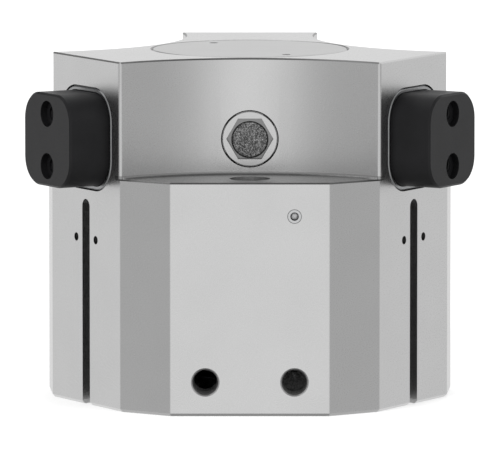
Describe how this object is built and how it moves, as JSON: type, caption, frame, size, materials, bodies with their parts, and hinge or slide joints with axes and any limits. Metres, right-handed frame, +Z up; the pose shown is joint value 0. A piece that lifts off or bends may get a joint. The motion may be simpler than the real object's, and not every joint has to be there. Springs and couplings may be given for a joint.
{
  "type": "three jaw centric gripper",
  "caption": "Sealed pneumatic gripper: upright aluminium housing with radial black jaws that close together on a wedge-hook drive, sensor slots and air ports.",
  "frame": {"origin": "centre of the bottom mounting face", "axes": "+Z up from the mounting face to the top cover, -Y out of the face with the two air ports, one jaw along +Y"},
  "size_m": [0.1546, 0.1452, 0.12],
  "materials": {
    "housing_metal": "satin anodised",
    "cover_metal": "satin anodised",
    "cap_metal": "turned, anodised",
    "seal_rubber": "moulded",
    "spring_steel": "phosphated spring steel",
    "bush_bronze": "turned",
    "piston_metal": "turned",
    "magnet": "plastic-bonded magnet",
    "guide_plastic": "turned",
    "screw_steel": "blackened",
    "rod_steel": "ground, hardened",
    "jaw_black": "black hard-anodised",
    "frame_steel": "stainless sheet",
    "wiper_rubber": "moulded",
    "vent_metal": "turned, anodised",
    "filter_sinter": "sintered grains",
    "expander_steel": "polished"
  },
  "bodies": {
    "body": {"housing": "housing_metal", "top_cover": "cover_metal", "top_cover_oring": "seal_rubber", "end_cap": "cap_metal", "end_cap_oring": "seal_rubber", "end_cap_clip": "spring_steel", "rod_bush": "bush_bronze", "rod_seal": "seal_rubber", "upper_bumper": "seal_rubber", "lower_bumper": "seal_rubber", "wiper_frame_rear": "frame_steel", "wiper_frame_left": "frame_steel", "wiper_frame_right": "frame_steel", "wiper_rear": "wiper_rubber", "wiper_left": "wiper_rubber", "wiper_right": "wiper_rubber", "vent_screw": "vent_metal", "vent_filter": "filter_sinter", "expander_sleeves": "expander_steel", "expander_balls": "expander_steel"},
    "drive": {"hook_rod": "rod_steel", "piston_upper": "piston_metal", "piston_lower": "piston_metal", "piston_magnet": "magnet", "piston_seal": "seal_rubber", "piston_guide_ring": "guide_plastic", "spigot_oring": "seal_rubber", "piston_screw": "screw_steel"},
    "jaw_rear_slide_block": {"jaw_rear": "jaw_black"},
    "jaw_left_slide_block": {"jaw_left": "jaw_black"},
    "jaw_right_slide_block": {"jaw_right": "jaw_black"}
  },
  "joints": [
    {"name": "piston_slide", "type": "slide", "parent": "body", "child": "drive", "axis": [0, 0, -1], "range_m": [0, 0.02]},
    {"name": "jaw_rear_slide", "type": "slide", "parent": "body", "child": "jaw_rear_slide_block", "axis": [0, -1, 0], "range_m": [0, 0.01]},
    {"name": "jaw_left_slide", "type": "slide", "parent": "body", "child": "jaw_left_slide_block", "axis": [0.866, 0.5, 0], "range_m": [0, 0.01]},
    {"name": "jaw_right_slide", "type": "slide", "parent": "body", "child": "jaw_right_slide_block", "axis": [-0.866, 0.5, 0], "range_m": [0, 0.01]}
  ],
  "couplings": [
    {"joint": "jaw_rear_slide", "follows": "piston_slide", "ratio": 0.5},
    {"joint": "jaw_left_slide", "follows": "piston_slide", "ratio": 0.5},
    {"joint": "jaw_right_slide", "follows": "piston_slide", "ratio": 0.5}
  ]
}
